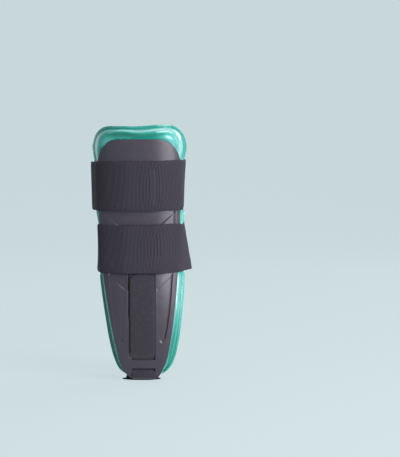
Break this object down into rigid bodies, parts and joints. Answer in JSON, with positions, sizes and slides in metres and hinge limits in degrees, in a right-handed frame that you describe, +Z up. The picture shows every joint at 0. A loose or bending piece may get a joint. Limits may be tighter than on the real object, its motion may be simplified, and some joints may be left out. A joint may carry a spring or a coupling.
{
  "type": "ankle foot orthosis",
  "caption": "Stirrup ankle orthosis: two curved half shells lined with gel pads, joined by a heel strap and closed round the leg by two wide elastic bands.",
  "frame": {"origin": "on the floor under the middle of the part's bounding box, under the heel", "axes": "+Z up the leg, +X toward the toes, -Y toward the outer (lateral) side of the ankle, +Y toward the inner side"},
  "size_m": [0.103, 0.1172, 0.2581],
  "materials": {
    "shell_plastic": "satin moulded, dark anthracite",
    "gel": "clear soft gel, turquoise green",
    "film": "thin clear glossy film, turquoise green",
    "elastic": "ribbed woven elastic, dark grey",
    "webbing": "brushed loop webbing, dark grey",
    "hook": "hook and loop fastener, near black",
    "heel_cover": "knitted cover over thin foam, near black"
  },
  "bodies": {
    "heel": {"heel_sole": "heel_cover", "heel_webbing_underfoot": "webbing", "heel_cushion": "heel_cover"},
    "lateral_side": {"lateral_shell": "shell_plastic", "lateral_pad_back_film": "film", "lateral_pad_gel": "gel", "lateral_pad_front_film": "film", "lateral_pad_hook_upper": "hook", "lateral_pad_hook_lower": "hook", "lateral_upper_anchor": "hook", "lateral_lower_anchor": "hook", "lateral_heel_webbing": "webbing", "lateral_heel_loop_patch": "hook", "upper_band_lateral": "elastic", "lower_band_lateral": "elastic"},
    "medial_side": {"medial_shell": "shell_plastic", "medial_pad_back_film": "film", "medial_pad_gel": "gel", "medial_pad_front_film": "film", "medial_pad_hook_upper": "hook", "medial_pad_hook_lower": "hook", "medial_upper_anchor": "hook", "medial_lower_anchor": "hook", "medial_heel_webbing": "webbing", "medial_heel_loop_patch": "hook", "upper_band_medial": "elastic", "lower_band_medial": "elastic"},
    "lateral_heel_adjuster": {"lateral_heel_tab": "webbing"},
    "medial_heel_adjuster": {"medial_heel_tab": "webbing"},
    "upper_front_closure": {"upper_front_tab": "elastic", "upper_front_hook": "hook"},
    "upper_rear_closure": {"upper_rear_tab": "elastic", "upper_rear_hook": "hook"},
    "lower_front_closure": {"lower_front_tab": "elastic", "lower_front_hook": "hook"},
    "lower_rear_closure": {"lower_rear_tab": "elastic", "lower_rear_hook": "hook"}
  },
  "joints": [
    {"name": "lateral_swing", "type": "hinge", "parent": "heel", "child": "lateral_side", "pos_m": [0.0015, -0.034, 0.0022], "axis": [1, 0, 0], "range_deg": [0, 66]},
    {"name": "lateral_heel_adjust", "type": "hinge", "parent": "lateral_side", "child": "lateral_heel_adjuster", "pos_m": [0, 0.2191, 0.092], "axis": [-1, 0, 0], "range_deg": [0, 2.1]},
    {"name": "medial_swing", "type": "hinge", "parent": "heel", "child": "medial_side", "pos_m": [0.0015, 0.034, 0.0022], "axis": [-1, 0, 0], "range_deg": [0, 66]},
    {"name": "medial_heel_adjust", "type": "hinge", "parent": "medial_side", "child": "medial_heel_adjuster", "pos_m": [0, -0.2191, 0.092], "axis": [1, 0, 0], "range_deg": [0, 2.1]},
    {"name": "upper_front_peel", "type": "hinge", "parent": "lateral_side", "child": "upper_front_closure", "pos_m": [0.04517, -0.0335, 0.1972], "axis": [0, 0, -1], "range_deg": [0, 110]},
    {"name": "upper_rear_peel", "type": "hinge", "parent": "lateral_side", "child": "upper_rear_closure", "pos_m": [-0.04883, -0.034, 0.1972], "axis": [0, 0, 1], "range_deg": [0, 110]},
    {"name": "lower_front_peel", "type": "hinge", "parent": "lateral_side", "child": "lower_front_closure", "pos_m": [0.04467, -0.0337, 0.134], "axis": [0, 0, -1], "range_deg": [0, 110]},
    {"name": "lower_rear_peel", "type": "hinge", "parent": "lateral_side", "child": "lower_rear_closure", "pos_m": [-0.04573, -0.0354, 0.134], "axis": [0, 0, 1], "range_deg": [0, 110]}
  ]
}
